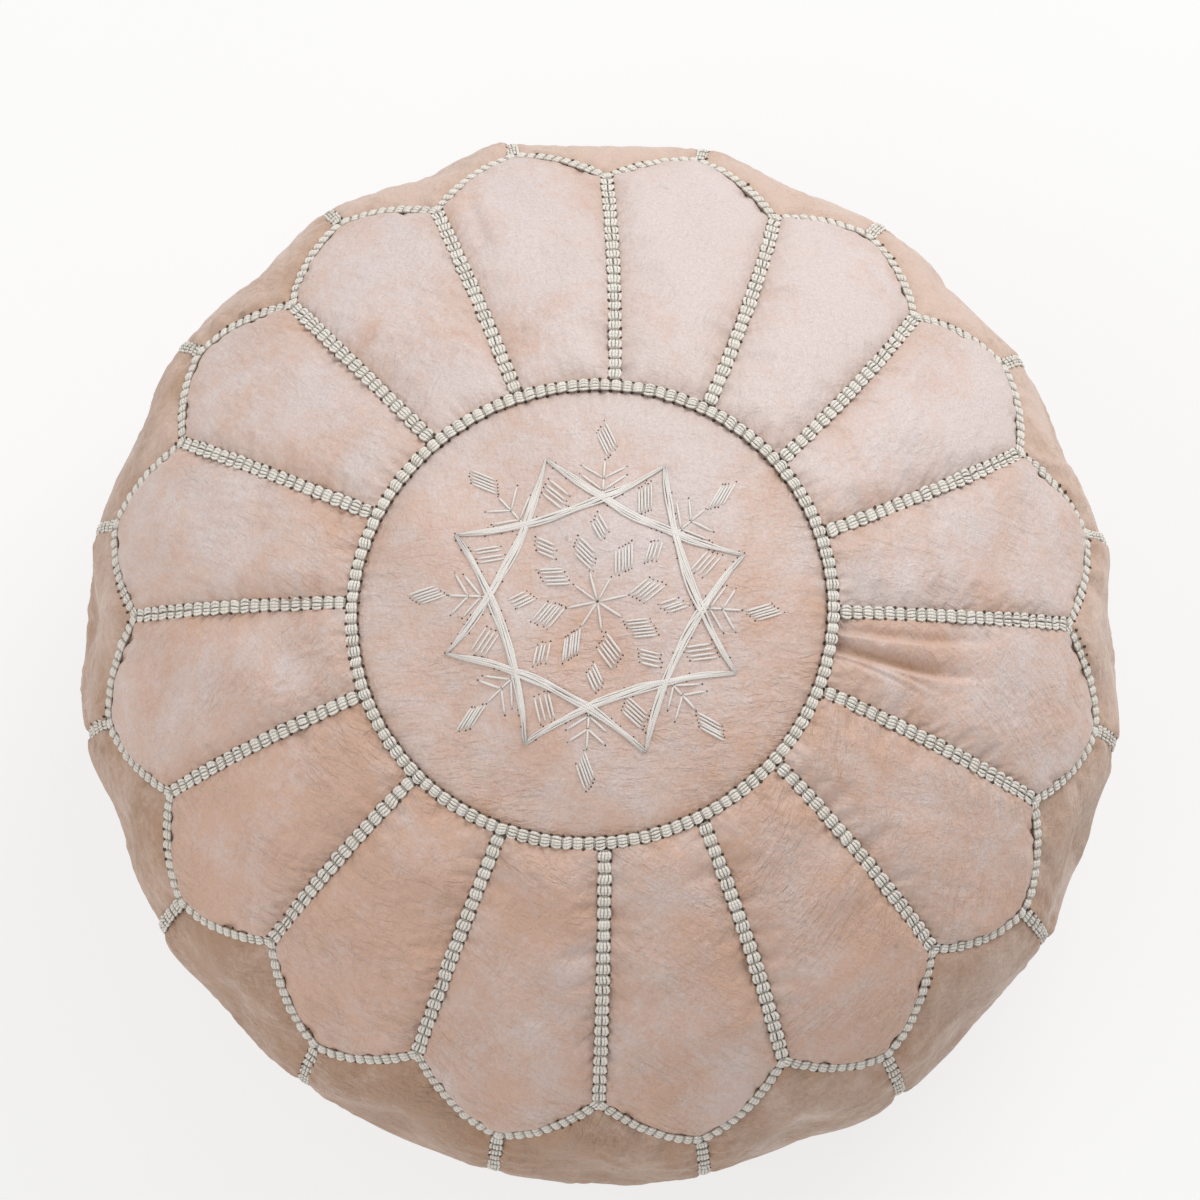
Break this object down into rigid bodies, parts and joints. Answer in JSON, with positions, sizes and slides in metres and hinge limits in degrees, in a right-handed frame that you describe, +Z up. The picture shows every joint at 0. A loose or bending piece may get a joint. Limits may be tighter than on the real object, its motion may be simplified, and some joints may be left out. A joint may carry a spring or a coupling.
{
  "type": "moroccan leather pouf",
  "caption": "Round stuffed leather floor pouf with a stitched medallion, petal panels and scalloped side panels, zipped underneath.",
  "frame": {"origin": "middle of the base, on the floor plane", "axes": "+Z up, -Y towards the front, +X to the right; the zip runs along X"},
  "size_m": [0.5345, 0.5417, 0.325],
  "materials": {
    "leather_top": "satin",
    "leather_side": "satin",
    "leather_base": "matte",
    "braid_thread": "matte",
    "embroidery_thread": "satin",
    "cotton_cloth": "matte",
    "filling": "matte",
    "zip_tape": "matte",
    "zip_brass": "satin"
  },
  "bodies": {
    "pouf": {"medallion": "leather_top", "petal_01": "leather_top", "petal_02": "leather_top", "petal_03": "leather_top", "petal_04": "leather_top", "petal_05": "leather_top", "petal_06": "leather_top", "petal_07": "leather_top", "petal_08": "leather_top", "petal_09": "leather_top", "petal_10": "leather_top", "petal_11": "leather_top", "petal_12": "leather_top", "petal_13": "leather_top", "petal_14": "leather_top", "petal_15": "leather_top", "petal_16": "leather_top", "side_panel_01": "leather_side", "side_panel_02": "leather_side", "side_panel_03": "leather_side", "side_panel_04": "leather_side", "side_panel_05": "leather_side", "side_panel_06": "leather_side", "side_panel_07": "leather_side", "side_panel_08": "leather_side", "side_panel_09": "leather_side", "side_panel_10": "leather_side", "side_panel_11": "leather_side", "side_panel_12": "leather_side", "side_panel_13": "leather_side", "side_panel_14": "leather_side", "side_panel_15": "leather_side", "side_panel_16": "leather_side", "base_half_front": "leather_base", "base_half_back": "leather_base", "medallion_braid": "braid_thread", "petal_braid": "braid_thread", "side_braid": "braid_thread", "star_embroidery": "embroidery_thread", "zip_tape_front": "zip_tape", "zip_tape_back": "zip_tape", "zip_teeth_front": "zip_brass", "zip_teeth_back": "zip_brass", "zip_top_stop_front": "zip_brass", "zip_top_stop_back": "zip_brass", "zip_bottom_stop": "zip_brass", "inner_bag": "cotton_cloth", "bag_drawcord": "cotton_cloth", "stuffing": "filling"},
    "slider": {"zip_slider": "zip_brass"},
    "pull": {"zip_pull": "zip_brass"}
  },
  "joints": [
    {"name": "zip_slide", "type": "slide", "parent": "pouf", "child": "slider", "axis": [-1, 0, 0], "range_m": [0, 0.272]},
    {"name": "pull_hinge", "type": "hinge", "parent": "slider", "child": "pull", "pos_m": [0.136, 0, 0.0042], "axis": [0, -1, 0], "range_deg": [0, 170]}
  ]
}
